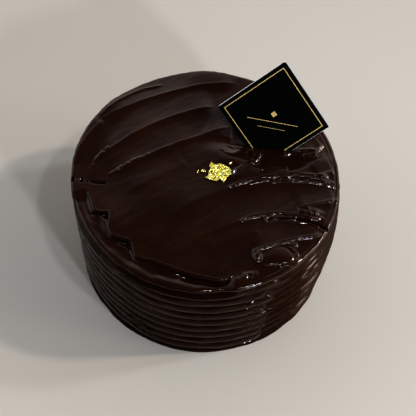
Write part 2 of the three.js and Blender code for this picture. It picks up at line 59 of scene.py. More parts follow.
# The comb was set down again at each of these angles. Scallop is 1 where the comb left wide
# hollows between thin crests, and 0 where it left broad bands over narrow grooves.
COMB_SWEEPS = (
    {"start": -62, "blend": 2, "lift": -2.2, "depth": 1.0, "scallop": 1.0, "rough": 0.2},
    {"start": 96, "blend": 4, "lift": 1.4, "depth": 0.9, "scallop": 0.4, "rough": 0.5},
    {"start": 196, "blend": 6, "lift": 2.6, "depth": 0.85, "scallop": 0.0, "rough": 1.0},
    {"start": 236, "blend": 14, "lift": 0.2, "depth": 1.0, "scallop": 0.0, "rough": 0.5},
)
SEAM_WANDER = {"size": 3.5, "pitch": 7, "seed": 60}
LIFT_SPAN = (2, 8, 70, 75)  # heights between which the comb's lift grows, and fades again
SMEARED_PATCH = {"angle": -110, "height": 47, "half_angle": 7, "half_height": 8, "smear": 0.8}

# Patches of small lumps on the side
LUMPY_PATCHES = (
    {"angle": -117, "height": 16, "half_angle": 6, "half_height": 9, "size": 0.75},
    {"angle": -141, "height": 28, "half_angle": 5, "half_height": 12, "size": 0.45},
    {"angle": -67, "height": 45, "half_angle": 5, "half_height": 40, "size": 0.5},
)

# Where the comb ran rough, frosting bridges the grooves and is torn
BRIDGES = {"start": 0.35, "full": 0.75, "fill": 0.75}
TORN = {"above": 0.45, "rough": 0.5}
SCALLOP_CALM = 0.7  # share of the drag lines that the wide hollows lack
FOOT_FADE = 4  # height over which the foot's own unevenness fades
SIDE_JOIN = 0.955  # share of the side's height from which it runs into the last groove

# Small unevenness of the side: waves round the cake, and radians per millimetre up it
COARSE_WAVES = ({"round": 11, "up": 0.13}, {"round": 3, "up": 0.31})
COARSE_WAVE_SIZE = 0.16
FINE_WAVE = {"round": 29, "up": -0.22, "size": 0.08}

# Noise round the cake: how many cells go round, how high one is, how far it reaches, its seed
GRAINS = {
    "ledge": (90, 2.5, 0.15, 51),
    "last_groove_radius": (60, 1, 0.2, 52),
    "last_groove_height": (40, 1, 0.25, 53),
    "rim": (70, 1, 0.28, 54),
    "rim_rows": (160, 1 / 3, 0.18, 55),
    "ridge_wave": (24, 9, 0.3, 61),
    "rough_ridge_wave": (80, 8, 0.25, 62),
    "groove": (46, 8, 0.3, 63),
    "rough_groove": (120, 8, 0.2, 64),
    "torn": (220, 2.2, 1, 65),
    "drag": (70, 0.8, 0.07, 66),
    "rough_drag": (260, 1.1, 0.05, 67),
    "foot": (60, 3, 0.3, 68),
    "bridges": (130, 5, 1, 69),
    "lumps": (300, 1.6, 1, 70),
}

# Rim: a roll between the top's edge and the last groove. Its shares are of the way down.
LAST_GROOVE_HEIGHT = 75.6
LAST_GROOVE_INSET = 1.3
LAST_GROOVE_DROP = 1.7  # how much lower the last groove is below the ledge
LAST_GROOVE_RISE = 0.6  # share of the rim's rise that the last groove follows
RIM_ROLL_HEIGHT = 1.3
RIM_ROLL_DROP = 0.6  # largest share of the whole drop that the roll takes
RIM_ROLL_END = 0.55
RIM_FALL_START = 0.4
RIM_BACK_START = 0.62

# Where the rim stands higher or lower than the middle of the top
RIM_RISES = (
    {"angle": 92, "half_angle": 13, "rise": 1.3},
    {"angle": 121, "half_angle": 8, "rise": -0.4},
    {"angle": 150, "half_angle": 18, "rise": 1.9},
)
RISE_INNER = 62

# Top coat: it ends in a wavy lip at the front left, with a lower ledge outside it
TOP_EDGE_RADIUS = 78.2
LIP_RADIUS = 69.3
PLAIN_LIP_RADIUS = 70.0
LIP_WANDER = {"size": 0.35, "pitch": 3.2, "seed": 11}
LIP_EDGE = {"height": 0.12, "inset": 0.4, "half_width": 0.5}
LIP_FACE = 1.0
LIP_OVERHANG = 0.5
LIP_FLARE = 4.7
LIP_FLARE_START = -98
LIP_NOTCHES = (
    {"angle": -150.8, "depth": 6.8, "before": 2.2, "after": 7.0},
    {"angle": -129.3, "depth": 4.9, "before": 6.5, "after": 4.2},
    {"angle": -112.0, "depth": 2.2, "before": 6.0, "after": 12.0},
)
LIP_HOLLOWS = (
    {"angle": -151.2, "half_angle": 2.4, "depth": 2.6},
    {"angle": -129.5, "half_angle": 4.2, "depth": 2.2},
    {"angle": -96.0, "half_angle": 5.0, "depth": 1.8},
    {"angle": -85.0, "half_angle": 3.5, "depth": 1.0},
)
HOLLOW_OFFSET = 1.9
HOLLOW_REACH = 1.5

# The ledge outside the lip sinks a little and rises again to a narrow rim
LEDGE_DEPTH = 1.1
LEDGE_FALL = 1.4
LEDGE_START = -168
LEDGE_END = -75
LEDGE_FADE = 6
LEDGE_FOOT_RADIUS = 72.6
LEDGE_RIM_RISE = 0.5
LEDGE_RIM_INSET = 1.7

# Line between the top coat and the first ridge, on the right
EDGE_LINE = {"radius": 77.1, "half_width": 0.4, "depth": 0.35, "start": -60, "end": 62, "fade": 8}

# Long and short waves of the top, in radians per millimetre of x and y
LONG_WAVE = {"size": 0.2, "x": 0.055, "y": -0.09, "shift": 0.8}
SHORT_WAVES = ({"x": 0.13, "y": 0.05, "shift": 0}, {"x": -0.04, "y": 0.11, "shift": 1.3})
SHORT_WAVE_SIZE = 0.12

# Small unevenness of the swept frosting, stretched along the spatula's way. A cell of noise has
# a length and a width, and the noise is shifted by so many cells.
SWEEP_TURN = 35
FINE_RELIEFS = (
    {"cell": (14, 3.2), "seed": 41, "size": 0.035, "shift": 20},
    {"cell": (5, 1.3), "seed": 42, "size": 0.018, "shift": 20},
)


def stroke(start, end, bulge, height, near=4.5, bead=0.0, rows=1, broken=0.15, crack=0.0):
    """An edge left by the spatula: an arc bowed to the left of its way.

    It rises to a crest along the arc, over the length near on its right. Rows of beads run
    along it, broken into lumps or not, and a crack may run below them."""
    return {"from": start, "to": end, "bulge": bulge, "height": height, "near": near,
            "bead": bead, "rows": rows, "broken": broken, "crack": crack}


STROKES = (
    # Far left: broad edges one behind the other
    stroke((-66.7, 34.8), (19.2, 70.9), 8.3, 1.0, bead=0.12),
    stroke((-66.4, 38.1), (-28.8, 67.2), 5.2, 0.35, near=1.5, bead=0.3),
    stroke((-78.0, 2.0), (-64.0, 35.5), 3.0, 0.4, near=2.0, bead=0.2),
    stroke((-66.1, 4.3), (5.6, 51.0), 7.7, 0.95, bead=0.14),
    stroke((-67.2, 1.5), (-58.5, 15.5), 1.2, 0.0, bead=0.35, broken=1.0),
    stroke((-57.4, -5.0), (14.9, 35.5), 3.1, 0.8, near=4.0, bead=0.16),
    stroke((-57.5, -5.0), (-33.5, 12.2), 0.8, 0.0, bead=0.35, broken=1.0),
    stroke((-46.8, -18.0), (-10.8, 7.5), 0.5, 0.25, near=3.0),
    stroke((-4.0, 31.0), (16.0, 27.0), -1.0, 0.4, near=2.0),
    # Right of the leaf: a crest with a rope of thin rolls
    stroke((-25.3, -38.6), (79.5, -7.4), 15.4, 0.45, near=5.0),
    stroke((12.5, -11.8), (77.0, -5.2), 6.3, 0.2, near=1.5, bead=1.0),
    stroke((25.0, -8.2), (50.0, -3.7), 1.0, 0.0, bead=0.6),
    stroke((38.0, -6.2), (77.0, -8.2), 2.4, 0.0, bead=0.9),
    stroke((40.0, -4.3), (70.0, -5.2), 1.5, 0.0, rows=0, crack=1.3),
    stroke((50.0, -0.6), (73.0, -1.2), 1.0, 0.0, bead=0.7),
    stroke((66.0, -1.5), (76.5, 3.5), 0.4, 0.5, near=2.0, bead=0.5),
    # The next crest in front, with its rolls and the crack below them
    stroke((-16.1, -61.6), (77.9, -36.9), 17.6, 0.5, near=5.0),
    stroke((20.0, -34.4), (67.0, -31.8), 4.7, 0.2, near=1.5, bead=1.0),
    stroke((33.0, -32.0), (62.0, -32.2), 1.8, 0.0, bead=0.8),
    stroke((35.0, -32.9), (71.5, -38.6), 4.0, 0.0, rows=0, crack=2.4),
    stroke((54.0, -33.6), (66.0, -36.0), 0.6, 0.0, bead=0.7),
    # Between the two, a wedge with a roll on each side
    stroke((53.5, -25.0), (77.0, -16.8), 0.4, 0.5, near=2.5, bead=0.8),
    stroke((54.0, -25.5), (68.5, -31.0), 0.6, 0.0, bead=0.9, broken=0.9),
    # Front right: a faint crest and the roll behind the petal
    stroke((-0.2, -57.6), (33.3, -40.2), 2.8, 0.2, near=4.0),
    stroke((27.0, -54.2), (67.0, -41.2), 1.0, 0.5, near=3.0, bead=0.85),
    # Round the card: the edge of the scoop in front of it and the rolls beside it
    stroke((14.5, -1.2), (28.8, 7.4), 0.6, 0.4, near=1.5, bead=0.7, crack=1.0),
    stroke((28.6, 7.2), (33.6, 20.5), -1.2, 0.5, near=2.0, bead=0.9, broken=0.7),
    stroke((52.0, 18.6), (66.5, 18.6), 0.8, 0.3, near=1.5, bead=0.8),
    stroke((56.5, 15.4), (66.5, 17.0), -0.5, 0.2, near=1.5, bead=0.8, broken=0.6),
    stroke((65.0, 16.0), (71.5, 22.8), 0.3, 0.3, near=1.5, bead=0.5, crack=0.9),
    stroke((32.0, 1.6), (49.0, 4.6), 0.9, 0.3, near=1.5, bead=0.5, broken=0.5),
)
CREST_ROUND = 0.5
STROKE_REACH = 11.0
STROKE_TAPER = 0.22
STROKE_WANDER = {"size": 0.3, "pitch": 6}
STROKE_SEEDS = {"wander": 100, "beads": 150, "crack": 190}
BEAD_START = 0.05
BEAD_PITCH = 1.5
BEAD_HALF_WIDTH = 0.8
BEAD_LUMP_PITCH = 1.6
CREASE_HALF_WIDTH = 0.6
CREASE_MEAN = 0.85
CREASE_WAVE = {"size": 0.3, "pitch": 5}

# Petal of frosting by the front right rim: a crease round its open side, a small roll outside
# the crease. Widths and reaches are shares of its half sizes.
DAB = {"at": (41.5, -56.3), "turn": 10, "half": (9.6, 5.6), "crown": 0.7}
DAB_WAVES = {"count": 3, "size": 0.08, "shift": 0.6}
DAB_OPEN = {"side": -40, "start": -0.3, "full": 0.6}
DAB_CREASE = {"depth": 0.55, "reach": 1, "width": 0.08}
DAB_ROLL = {"height": 0.5, "reach": 1.17, "width": 0.1, "grain": {"cell": (1.4, 1.4), "seed": 21}}

# Lumps: by the card where it went in, by the petal, and a facet between two strokes
LUMPS = (
    {"at": (21.5, 12.0), "half": (9.5, 6.0), "turn": 15, "height": 1.1, "rough": 0.06},
    {"at": (30.3, 16.4), "half": (2.6, 3.4), "turn": 0, "height": 0.9, "rough": 0.9},
    {"at": (48.6, 16.4), "half": (3.0, 1.5), "turn": 25, "height": 0.9, "rough": 0.9},
    {"at": (62.5, -26.3), "half": (5.0, 2.2), "turn": -14, "height": 1.1, "rough": 0.35},
    {"at": (30.3, -57.0), "half": (2.2, 3.2), "turn": 20, "height": 1.6, "rough": 0.25},
    {"at": (51.2, -48.6), "half": (1.4, 1.4), "turn": 0, "height": 0.9, "rough": 0.4},
    {"at": (24.0, -70.0), "half": (6.5, 2.4), "turn": 20, "height": 0.5, "rough": 1.0},
)
LUMP_FLATNESS = 3  # 2 is a bell, and more has a flatter top and steeper sides
LUMP_GRAIN = {"cell": (1.5, 1.5), "shift": 20}
LUMP_SEED = 22

# The frosting sinks towards the card's foot, and swells a little in front of the hollow
CARD_DIP = {"half_length": 11.0, "reach": 19.0, "depth": 2.4, "rounding": 0.08}
DIP_SWELL = {"height": 0.9, "width": 0.5, "full": 10}

# Crack in the top coat at the left rim: spots, then a line. Shares are of its length.
CRACK = {"from": (-79, -8.6), "to": (-57.5, -10.6), "depth": 3.0, "half_width": 0.5}
CRACK_LINE = {"from": 0.6, "to": 0.95, "fade": 0.05}
CRACK_WANDER = {"size": 0.5, "pitch": 3, "seed": 31}
CRACK_SPOT_FLATNESS = 4
CRACK_SPOTS = (
    {"share": 0.05, "radius": 1.35},
    {"share": 0.29, "radius": 1.15},
    {"share": 0.45, "radius": 0.7},
    {"share": 0.54, "radius": 0.6},
)

# ---- Steps of the meshes

# Rings of the top: inside the lip, down its face, over the ledge to the edge
RINGS_INSIDE = 138
RINGS_FACE = 8
RINGS_LEDGE = 14
TOP_RINGS = RINGS_INSIDE + RINGS_FACE + RINGS_LEDGE
RIM_ROWS = 14
RIM_STEPS = 6 * TOP_RINGS
SIDE_STEPS = 480
SIDE_ROWS = 204
NOISE_ROWS = 64

# ---- Sizes of the card and the gold leaf

CARD_SIDE = 48.0
CARD_THICKNESS = 1.3
CARD_CORNER_RADIUS = 0.8
CARD_ENTRY = (38.7, 21.6)
CARD_ENTRY_HEIGHT = 77.4
CARD_BURIED = 15.0
CARD_LEAN = 35.1
CARD_TURN = -3.9
CARD_ROLL = -5.5
CARD_MIDDLE = CARD_SIDE / math.sqrt(2) - CARD_BURIED  # from its entry up to its middle
CARD_EDGE_ROUND = 0.22
CARD_CORNER_STEPS = 6
PRINT_LIFT = 0.03
PRINT_INSET = 2.6
PRINT_LINE = 0.62
LONG_RULE = {"middle": -3.2, "length": 31.0, "width": 0.5}
SHORT_RULE = {"middle": -7.2, "length": 17.0, "width": 0.35}
LOZENGE = {"middle": 1.6, "half": 2.1}

LEAF_STEP = 0.28
LEAF_SHEET = 0.06
MERGE_DISTANCE = 1e-4
TORN_STEP = 0.4
TORN_JAG = 0.13
LEAF_SEED = 81
LEAF_GAP = 0.45
LEAF_OUTLINE = (
    (3.5, 6.7), (5.6, 4.6), (8.2, 5.7), (10.9, 4.4), (14.8, 1.3), (15.3, -1.9), (12.6, -4.2),
    (10.7, -7.9), (8.8, -5.6), (6.5, -7.4), (2.8, -6.3), (-0.4, -4.9), (1.8, -2.9), (1.3, -0.8),
    (2.9, 1.2), (1.9, 3.9),
)
LEAF_HOLES = (
    {"at": (3.4, -0.6), "size": (0.5, 1.0), "turn": -25},
    {"at": (7.0, 2.1), "size": (0.4, 0.4), "turn": 0},
)
HOLE_CORNERS = 9
FLECKS = (
    {"at": (-1.5, 0.1), "length": 3.4, "width": 2.4, "turn": 10},
    {"at": (-4.7, -0.6), "length": 3.0, "width": 1.0, "turn": 80},
    {"at": (14.6, 5.2), "length": 2.2, "width": 1.5, "turn": 60},
)
FLECK_CORNERS = 7
FLECK_REACHES = (0.5, 0.38)  # of its corners in turn, as shares of its length and width

# Relief of the leaf: crinkles across a slanting way, small creases and a fold
LEAF_SLANT = 0.9
LEAF_SLANT_LENGTH = 1.345  # of one step along x with its slant along y
LEAF_CRINKLE = 0.42
LEAF_CRINKLE_PITCH = 1.55
LEAF_CRINKLE_WANDER = {"cell": (3, 3), "seed": 71, "size": 0.9, "shift": 9}
LEAF_CREASES = {"cell": (0.9, 0.9), "seed": 72, "size": 0.14, "shift": 30}
LEAF_FOLD = {"slant": 0.55, "at": 6.2, "half_width": 0.9, "height": 1.1, "rise": (0.5, 4)}

# ---- Looks. Shades are colours at places on a noise from 0 to 1, and bumps are in millimetres.

# Depth divides the fudge's colours: the side's copy at 1.1 is darker than the top's, painted shade on the
# same fudge
TOP_FROSTING = {"roughness": (0.13, 0.21), "bump": 0.06, "gloss": 0.5, "coat": 0.35, "depth": 1.0}
SIDE_FROSTING = {"roughness": (0.12, 0.20), "bump": 0.05, "gloss": 0.32, "coat": 0.0, "depth": 1.1}
FINE_BUMP = 0.12  # share of the frosting's bump
FUDGE_SHADES = (
    (0.3, (0.028, 0.0106, 0.0048)),
    (0.55, (0.034, 0.0132, 0.0060)),
    (0.75, (0.042, 0.0168, 0.0080)),
)
CARD_SHADES = ((0.3, (0.0030, 0.0046, 0.0044)), (0.7, (0.0044, 0.0060, 0.0062)))
PALE_CORE_SHADES = ((0.3, (0.78, 0.79, 0.80)), (0.7, (0.92, 0.92, 0.93)))
# Painted shade: the same paper core, painted dark blue-grey for the two cut edges that stand in shade
PAINTED_SHADE_CORE_SHADES = ((0.3, (0.030, 0.038, 0.050)), (0.7, (0.055, 0.065, 0.080)))
INK_SHADES = ((0.3, (0.62, 0.46, 0.20)), (0.7, (0.80, 0.63, 0.31)))
LEAF_SHADES = ((0.35, (0.62, 0.50, 0.08)), (0.5, (0.88, 0.80, 0.24)), (0.65, (0.99, 0.95, 0.55)))
FLOOR_SHADES = ((0.3, (0.545, 0.513, 0.472)), (0.7, (0.558, 0.526, 0.485)))

FLOOR_HALF = 6000.0
LIGHTS = (
    # name, azimuth, elevation, distance, size, watts, colour
    ("key_warm", 4, 41, 4000, 250, 32.0, (1.0, 0.90, 0.78)),
    ("key_cool", 14, 35, 4000, 345, 21.0, (0.90, 0.95, 1.0)),
    ("window", -56, 26, 1700, 130, 7.0, (0.80, 0.90, 1.0)),
    ("ceiling_front", -80, 62, 1800, 100, 3.0, (0.92, 0.96, 1.0)),
    ("ceiling_right", -45, 60, 1800, 100, 3.0, (0.92, 0.96, 1.0)),
    ("right_low", -12, 14, 3000, 600, 9.0, (1.0, 0.88, 0.74)),
)

# Surrounding light by the sine of its elevation: a pale band low down and a dark ceiling
WORLD_BAND = (
    (0.0, (0.80, 0.79, 0.77)),
    (0.45, (0.84, 0.83, 0.82)),
    (0.66, (0.62, 0.62, 0.63)),
    (0.77, (0.30, 0.30, 0.32)),
    (0.86, (0.09, 0.09, 0.10)),
    (1.0, (0.03, 0.03, 0.03)),
)

# Behind the cake the band is bright, and in front it falls to its dim strength. The turn says how
# far directions point the bright way where it is dim, and where it is bright.
WORLD_DIM = 0.035
WORLD_BRIGHT_WAY = (0.05, 1.0, 0.0)
WORLD_TURN = (-0.6, 0.0)

# ---- The photograph's view

CAMERA_PLACE = (0.0, -281.14, 460.79)
CAMERA_AIM = (0.0, 0.0, 39.24)
CAMERA_PAN = (0.0045, 0.001)
CAMERA_ROLL = 2.07
CAMERA_SENSOR = 36.0
CAMERA_CLIP_START = 10.0
FOCAL_PIXELS = 800
IMAGE_PIXELS = 416


def smooth(value, low, high):
    """0 below low, 1 above high, smooth between."""
    share = np.clip((value - low) / (high - low), 0, 1)
    return share * share * (3 - 2 * share)


def span(value, start, full, fade, end):
    """0 outside start and end, 1 from full to fade, smooth between."""
    return smooth(value, start, full) * (1 - smooth(value, fade, end))


def mix(first, second, share):
    return first + (second - first) * share


def wrapped(angle):
    """An angle brought into -180 to 180."""
    return (np.asarray(angle) + 180) % 360 - 180


def hump(distance, width):
    """1 at 0, falling to nothing in about twice the width."""
    return np.exp(-(distance / width) ** 2)


def hump_round(shape, angle):
    """A hump over angles round the cake."""
    return hump(wrapped(angle - shape["angle"]), shape["half_angle"])


def turned(x, y, degrees):
    """How far points lie along a direction, and to its left."""
    cosine, sine = math.cos(math.radians(degrees)), math.sin(math.radians(degrees))
    return x * cosine + y * sine, y * cosine - x * sine


def polar(radius, angle):
    return radius * np.cos(np.radians(angle)), radius * np.sin(np.radians(angle))


def noise(u, v, seed, around=NOISE_ROWS):
    """Smooth noise from -1 to 1 with cells one unit wide. It repeats after `around` cells of u."""
    values = np.random.default_rng(seed).uniform(-1, 1, (around, NOISE_ROWS))
    cell_u, cell_v = np.floor(u).astype(int), np.floor(v).astype(int)
    part_u, part_v = smooth(u - cell_u, 0, 1), smooth(v - cell_v, 0, 1)

    def along(row):
        row = row % NOISE_ROWS
        return mix(values[cell_u % around, row], values[(cell_u + 1) % around, row], part_u)

    return mix(along(cell_v), along(cell_v + 1), part_v)


def line_noise(place, pitch, seed, size=1):
    """Noise along a line, with cells `pitch` long."""
    return size * noise(place / pitch, place * 0, seed)


def plane_noise(x, y, cell, seed, size=1, shift=0):
    """Noise over a plane, with cells of a length and a width, shifted by so many cells."""
    return size * noise(x / cell[0] + shift, y / cell[1] + shift, seed)


def grain(name, angle, height=0):
    """One of the noises round the cake."""
    cells, pitch, size, seed = GRAINS[name]
    return size * noise((angle % 360) / 360 * cells, height / pitch, seed, cells)


# ---- Slow unevenness

def side_wander(angle):
    """How far the side lies outside the cake's radius, the same all the way up."""
    return sum(wave["size"] * np.cos(np.radians(wave["count"] * (angle - wave["peak"])))
               for wave in ROUND_WAVES)


def side_bulge(angle, height):
    """Swelling of the side: nothing at the base and at the rim, most above half height."""
    up = np.clip(height / CAKE_HEIGHT, 0, 1) ** BULGE["skew"]
    return BULGE["size"] * hump_round(BULGE, angle) * np.sin(math.pi * up)


def side_roughness(angle, height):
    first, second, fine = (np.sin(wave["round"] * np.radians(angle) + wave["up"] * height)
                           for wave in (*COARSE_WAVES, FINE_WAVE))
    return COARSE_WAVE_SIZE * first * second + FINE_WAVE["size"] * fine


def top_waviness(x, y):
    first, second, long = (np.sin(wave["x"] * x + wave["y"] * y + wave["shift"])
                           for wave in (*SHORT_WAVES, LONG_WAVE))
    return SHORT_WAVE_SIZE * first * second + LONG_WAVE["size"] * long


# ---- Top coat

def ledge_share(angle):
    """1 where the top coat stops short of the rim, 0 where it reaches the rim."""
    full, fade = LEDGE_START + LEDGE_FADE, LEDGE_END - LEDGE_FADE
    return span(wrapped(angle), LEDGE_START, full, fade, LEDGE_END)


def lip_radius(angle):
    a = wrapped(angle)
    radius = LIP_RADIUS + LIP_FLARE * smooth(a, LIP_FLARE_START, LEDGE_END)
    for notch in LIP_NOTCHES:
        width = np.where(a < notch["angle"], notch["before"], notch["after"])
        radius = radius - notch["depth"] * hump(a - notch["angle"], width)
    return mix(PLAIN_LIP_RADIUS, radius + line_noise(a, **LIP_WANDER), ledge_share(angle))


def hollow_depth(angle, beyond):
    """Depth of the hollows under the lip, at a distance beyond it."""
    depth = sum(hollow["depth"] * hump_round(hollow, angle) for hollow in LIP_HOLLOWS)
    return depth * hump(beyond - HOLLOW_OFFSET, HOLLOW_REACH)


def rim_rise(angle):
    """How far the rim stands above the middle of the top."""
    return sum(rise["rise"] * hump_round(rise, angle) for rise in RIM_RISES)


def edge_line_share(angle):
    start, end, fade = EDGE_LINE["start"], EDGE_LINE["end"], EDGE_LINE["fade"]
    return span(wrapped(angle), start - fade, start, end, end + fade)


def arc_of(stroke):
    """Centre, radius, length and directions of a stroke's arc."""
    start, end = np.array(stroke["from"]), np.array(stroke["to"])
    chord = np.linalg.norm(end - start)
    along = (end - start) / chord
    left = np.array((-along[1], along[0]))
    radius = (chord ** 2 / 4 + stroke["bulge"] ** 2) / (2 * stroke["bulge"])
    centre = (start + end) / 2 + left * (stroke["bulge"] - radius)
    half_turn = math.asin(chord / 2 / abs(radius))
    return {**stroke, "along": along, "left": left, "radius": radius, "centre": centre,
            "half_turn": half_turn, "length": 2 * abs(radius) * half_turn}


def stroke_place(arc, x, y):
    """Progress along the arc, 0 to 1 between its ends, and distance to its left."""
    dx, dy = x - arc["centre"][0], y - arc["centre"][1]
    sign = math.copysign(1, arc["radius"])
    outward = sign * (arc["left"][0] * dx + arc["left"][1] * dy)
    sideways = arc["along"][0] * dx + arc["along"][1] * dy
    progress = (np.arctan2(sideways, outward) / arc["half_turn"] + 1) / 2
    return progress, sign * (np.hypot(dx, dy) - abs(arc["radius"]))


def stroke_height(arc, x, y, number):
    """Height that one stroke adds: a crest, its rows of beads and the crack below them."""
    progress, distance = stroke_place(arc, x, y)
    run = progress * arc["length"]
    seed = {key: first + 2 * number for key, first in STROKE_SEEDS.items()}
    distance = distance + line_noise(run, **STROKE_WANDER, seed=seed["wander"])
    taper = smooth(progress, 0, STROKE_TAPER) * smooth(1 - progress, 0, STROKE_TAPER / 2)
    away = np.hypot(distance, CREST_ROUND) - CREST_ROUND
    fade = np.where(distance < 0, arc["near"], STROKE_REACH)
    height = taper * arc["height"] * np.exp(-away / fade)
    started = smooth(progress, 0, BEAD_START) * smooth(1 - progress, 0, BEAD_START)
    for row in range(arc["rows"]):
        lumps = 1 + arc["broken"] * line_noise(run, BEAD_LUMP_PITCH, seed["beads"] + row)
        bead = hump(distance + row * BEAD_PITCH, BEAD_HALF_WIDTH)
        height = height + started * arc["bead"] * lumps * bead
    uneven = CREASE_MEAN + line_noise(run, **CREASE_WAVE, seed=seed["crack"])
    crease = hump(distance + arc["rows"] * BEAD_PITCH, CREASE_HALF_WIDTH)
    height = height - started * arc["crack"] * uneven * crease
    return np.where((progress > 0) & (progress < 1), height, 0)


ARCS = [arc_of(values) for values in STROKES]


def oval_place(shape, x, y):
    """Place in an oval's own directions, in units of its half sizes."""
    u, v = turned(x - shape["at"][0], y - shape["at"][1], shape["turn"])
    return u / shape["half"][0], v / shape["half"][1]


def dab_height(x, y):
    u, v = oval_place(DAB, x, y)
    way = np.arctan2(v, u)
    wave = DAB_WAVES["size"] * np.sin(DAB_WAVES["count"] * way + DAB_WAVES["shift"])
    reach = np.hypot(u, v) * (1 + wave)
    free = smooth(np.cos(way - math.radians(DAB_OPEN["side"])), DAB_OPEN["start"], DAB_OPEN["full"])
    crease = DAB_CREASE["depth"] * hump(reach - DAB_CREASE["reach"], DAB_CREASE["width"])
    roll = DAB_ROLL["height"] * hump(reach - DAB_ROLL["reach"], DAB_ROLL["width"])
    roll = roll * (1 + plane_noise(x, y, **DAB_ROLL["grain"]))
    return DAB["crown"] * np.clip(1 - reach ** 2, 0, 1) + free * (roll - crease)


def lump_height(x, y):
    height = 0
    for number, lump in enumerate(LUMPS):
        rough = 1 + lump["rough"] * plane_noise(x, y, **LUMP_GRAIN, seed=LUMP_SEED + number)
        away = np.hypot(*oval_place(lump, x, y))
        height = height + lump["height"] * rough * np.exp(-away ** LUMP_FLATNESS)
    return height


def dip_height(x, y):
    along, across = turned(x - CARD_ENTRY[0], y - CARD_ENTRY[1], CARD_TURN)
    beside = np.maximum(abs(along) - CARD_DIP["half_length"], 0)
    away = np.hypot(beside, across) / CARD_DIP["reach"]
    swell = DIP_SWELL["height"] * hump(away - 1, DIP_SWELL["width"]) * smooth(-across, 0, DIP_SWELL["full"])
    return swell - CARD_DIP["depth"] * np.clip(1 - np.hypot(away, CARD_DIP["rounding"]), 0, 1)


def crack_height(x, y):
    length = CRACK["to"][0] - CRACK["from"][0]
    share = (x - CRACK["from"][0]) / length
    middle = mix(CRACK["from"][1], CRACK["to"][1], share) + line_noise(x, **CRACK_WANDER)
    start, end, fade = (CRACK_LINE[key] for key in ("from", "to", "fade"))
    depth = span(share, start - fade, start, end, end + fade) * hump(y - middle, CRACK["half_width"])
    for spot in CRACK_SPOTS:
        away = np.hypot((share - spot["share"]) * length, y - middle) / spot["radius"]
        depth = np.maximum(depth, np.exp(-away ** CRACK_SPOT_FLATNESS))
    return -CRACK["depth"] * depth


def fine_relief(x, y):
    along, across = turned(x, y, SWEEP_TURN)
    return sum(plane_noise(along, across, **relief) for relief in FINE_RELIEFS)


def top_height(x, y):
    """Height of the top at points inside the rim, without the lip and the ledge."""
    radius = np.hypot(x, y)
    angle = np.degrees(np.arctan2(y, x))
    height = CAKE_HEIGHT + sum(stroke_height(arc, x, y, number) for number, arc in enumerate(ARCS))
    height = height + top_waviness(x, y) + fine_relief(x, y)
    height = height + dab_height(x, y) + lump_height(x, y) + dip_height(x, y) + crack_height(x, y)
    return height + rim_rise(angle) * smooth(radius, RISE_INNER, TOP_EDGE_RADIUS)


def top_ring(ring, angle):
    """Radius of one ring of the top, and how far it lies past the lip from 0 to 1."""
    lip = lip_radius(angle)
    ledge = ledge_share(angle)
    edge = TOP_EDGE_RADIUS - LEDGE_RIM_INSET * ledge + side_wander(angle)
    if ring <= RINGS_INSIDE:
        return lip * ring / RINGS_INSIDE, ledge * 0
    foot = lip + LIP_FACE
    if ring <= RINGS_INSIDE + RINGS_FACE:
        share = (ring - RINGS_INSIDE) / RINGS_FACE
        bow = LIP_OVERHANG * np.sin(math.pi * share) * ledge
        return mix(lip, foot, share) + bow, ledge * smooth(share, 0, 1)
    share = (ring - RINGS_INSIDE - RINGS_FACE) / RINGS_LEDGE
    return mix(foot, edge, share), ledge


def top_point(ring, angle):
    radius, past = top_ring(ring, angle)
    x, y = polar(radius, angle)
    lip = lip_radius(angle)
    ledge = ledge_share(angle)
    foot = np.maximum(LEDGE_FOOT_RADIUS, lip + LIP_FACE)
    rise = LEDGE_RIM_RISE * smooth(radius, foot, TOP_EDGE_RADIUS - LEDGE_RIM_INSET)
    fall = (LEDGE_FALL * smooth(radius, lip, foot) - rise) * ledge
    lipped = LIP_EDGE["height"] * hump(radius - lip + LIP_EDGE["inset"], LIP_EDGE["half_width"])
    line = EDGE_LINE["depth"] * hump(radius - EDGE_LINE["radius"], EDGE_LINE["half_width"])
    height = mix(top_height(x, y), CAKE_HEIGHT + grain("ledge", angle, radius), past)
    height = height + lipped * ledge * (1 - past) - LEDGE_DEPTH * past - fall
    height = height - hollow_depth(angle, radius - lip) * past - line * edge_line_share(angle)
    return np.stack((x, y, height), -1)


def last_groove(angle):
    """Radius and height of the groove under the rim, where the top coat meets the side."""
    ledge = ledge_share(angle)
    radius = CAKE_RADIUS - LAST_GROOVE_INSET - LEDGE_RIM_INSET * ledge + side_wander(angle)
    radius = radius + side_bulge(angle, LAST_GROOVE_HEIGHT) + grain("last_groove_radius", angle)
    height = LAST_GROOVE_HEIGHT - LAST_GROOVE_DROP * ledge + LAST_GROOVE_RISE * rim_rise(angle)
    return radius, height + grain("last_groove_height", angle)


def rim_point(share, angle, edge):
    """A row of the rim's roll, from the top's edge at share 0 to the last groove at share 1."""
    groove_radius, groove_height = last_groove(angle)
    edge_radius = np.hypot(edge[:, 0], edge[:, 1])
    turn = min(share / RIM_ROLL_END, 1) * math.pi / 2
    out = CAKE_RADIUS + side_wander(angle) + side_bulge(angle, edge[:, 2])
    out = out + grain("rim", angle) + grain("rim_rows", angle, share)
    out = out - LEDGE_RIM_INSET * ledge_share(angle)
    back = smooth(share, RIM_BACK_START, 1)
    radius = mix(mix(edge_radius, out, math.sin(turn)), groove_radius, back)
    drop = edge[:, 2] - groove_height
    roll = np.minimum(RIM_ROLL_HEIGHT, RIM_ROLL_DROP * drop)
    fall = (drop - roll) * smooth(share, RIM_FALL_START, 1)
    height = edge[:, 2] - roll * (1 - math.cos(turn)) - fall
    return np.stack((*polar(radius, angle), height), -1)


# ---- Combed side

